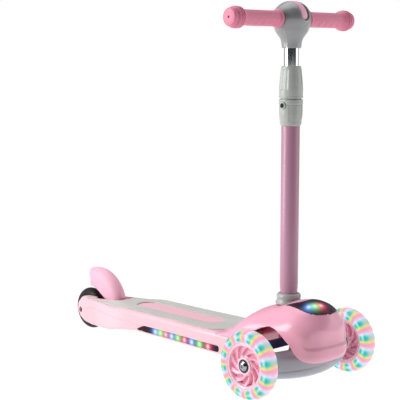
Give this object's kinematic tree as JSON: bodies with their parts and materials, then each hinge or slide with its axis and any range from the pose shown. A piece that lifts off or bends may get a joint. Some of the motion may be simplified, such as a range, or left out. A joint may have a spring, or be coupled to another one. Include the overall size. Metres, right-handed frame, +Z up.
{
  "type": "kick scooter",
  "caption": "Child's three-wheeled kick scooter that leans to steer, with light-up front wheels, lamp strips, a height-adjustable T-bar and a rear fender brake.",
  "frame": {"origin": "on the ground under the middle of the object's box", "axes": "+Z up; the rider faces -Y, so the nose is at -Y; +X is the rider's left"},
  "size_m": [0.285, 0.6635, 0.6243],
  "materials": {
    "pink_plastic": "glossy moulded",
    "deep_pink_plastic": "satin moulded",
    "mauve_paint": "satin powder coat",
    "mat_rubber": "fine-grained matt",
    "grey_plastic": "satin moulded",
    "smoke_lens": "smoked clear",
    "lamp": "glowing lamp",
    "circuit_board": "lacquered",
    "black_plastic": "satin moulded",
    "navy_plastic": "satin moulded",
    "steel": "zinc plated",
    "chrome": "bright chrome",
    "clear_tyre": "translucent cast",
    "black_tyre": "smooth",
    "white_plastic": "natural moulded",
    "grip_rubber": "soft moulded"
  },
  "bodies": {
    "deck": {"deck_shell": "pink_plastic", "deck_base": "deep_pink_plastic", "foot_mat": "mat_rubber", "mat_panel": "pink_plastic", "side_lens_right": "smoke_lens", "side_lens_left": "smoke_lens", "side_leds_right": "lamp", "side_leds_left": "lamp", "side_boards": "circuit_board", "battery_box": "black_plastic", "battery_cells": "steel", "battery_cover": "deep_pink_plastic", "deck_screws": "steel", "front_cover": "pink_plastic", "lamp_window": "smoke_lens", "lamp_leds": "lamp", "lamp_board": "circuit_board", "stem_socket": "grey_plastic", "front_frame": "deep_pink_plastic", "lean_pivot": "steel", "stem_tube": "mauve_paint", "lower_collar": "grey_plastic", "stem_sleeve": "white_plastic", "button_spring": "steel", "rear_axle": "steel", "rear_spacers": "steel", "brake_pin": "steel", "brake_spring": "steel"},
    "axle_beam": {"front_axle_beam": "grey_plastic", "lean_bush": "black_plastic", "kingpins": "steel"},
    "steering_link": {"steering_link": "navy_plastic"},
    "right_knuckle": {"knuckle_right": "grey_plastic", "front_axle_right": "chrome", "wheel_magnet_right": "steel"},
    "left_knuckle": {"knuckle_left": "grey_plastic", "front_axle_left": "chrome", "wheel_magnet_left": "steel"},
    "right_wheel": {"front_hub_right": "pink_plastic", "front_tyre_right": "clear_tyre", "wheel_leds_right": "lamp", "front_bearings_right": "steel"},
    "left_wheel": {"front_hub_left": "pink_plastic", "front_tyre_left": "clear_tyre", "wheel_leds_left": "lamp", "front_bearings_left": "steel"},
    "rear_wheel": {"rear_tyre": "black_tyre", "rear_hub": "black_plastic", "rear_bearings": "steel"},
    "brake": {"brake_fender": "pink_plastic"},
    "button": {"height_button": "black_plastic"},
    "clamp": {"twist_collar": "grey_plastic"},
    "handlebar": {"inner_tube": "chrome", "inner_tube_foot": "white_plastic", "bar_hub": "grey_plastic", "hub_insert": "pink_plastic", "hub_screw": "steel", "crossbar": "steel", "grip_right": "grip_rubber", "grip_left": "grip_rubber"}
  },
  "joints": [
    {"name": "lean", "type": "hinge", "parent": "deck", "child": "axle_beam", "pos_m": [0, -0.26025, 0.094], "axis": [0, 1, 0], "range_deg": [-12, 12], "stiffness_Nm_per_rad": 12},
    {"name": "link_slide", "type": "slide", "parent": "axle_beam", "child": "steering_link", "axis": [1, 0, 0], "range_m": [-0.0052, 0.0052]},
    {"name": "right_steer", "type": "hinge", "parent": "axle_beam", "child": "right_knuckle", "pos_m": [-0.088, -0.26025, 0.055], "axis": [0, 0, 1], "range_deg": [-12.5, 12.5]},
    {"name": "left_steer", "type": "hinge", "parent": "axle_beam", "child": "left_knuckle", "pos_m": [0.088, -0.26025, 0.055], "axis": [0, 0, 1], "range_deg": [-12.5, 12.5]},
    {"name": "right_wheel_spin", "type": "hinge", "parent": "right_knuckle", "child": "right_wheel", "pos_m": [-0.12, -0.26025, 0.055], "axis": [1, 0, 0], "continuous": true},
    {"name": "left_wheel_spin", "type": "hinge", "parent": "left_knuckle", "child": "left_wheel", "pos_m": [0.12, -0.26025, 0.055], "axis": [1, 0, 0], "continuous": true},
    {"name": "rear_wheel_spin", "type": "hinge", "parent": "deck", "child": "rear_wheel", "pos_m": [0, 0.29175, 0.04], "axis": [1, 0, 0], "continuous": true},
    {"name": "brake_press", "type": "hinge", "parent": "deck", "child": "brake", "pos_m": [0, 0.20575, 0.063], "axis": [1, 0, 0], "range_deg": [-4.5, 0], "stiffness_Nm_per_rad": 1.5, "springref_deg": 8.59},
    {"name": "height_slide", "type": "slide", "parent": "deck", "child": "handlebar", "axis": [0, 0, 1], "range_m": [0, 0.13]},
    {"name": "collar_twist", "type": "hinge", "parent": "deck", "child": "clamp", "pos_m": [0, -0.23375, 0.499], "axis": [0, 0, 1], "range_deg": [0, 90]},
    {"name": "button_press", "type": "slide", "parent": "deck", "child": "button", "axis": [1, 0, 0], "range_m": [0, 0.003], "stiffness_N_per_m": 400, "springref_m": -0.004}
  ],
  "couplings": [
    {"joint": "link_slide", "follows": "lean", "m_per_rad": 0.024},
    {"joint": "right_steer", "follows": "lean", "ratio": -1},
    {"joint": "left_steer", "follows": "lean", "ratio": -1}
  ]
}
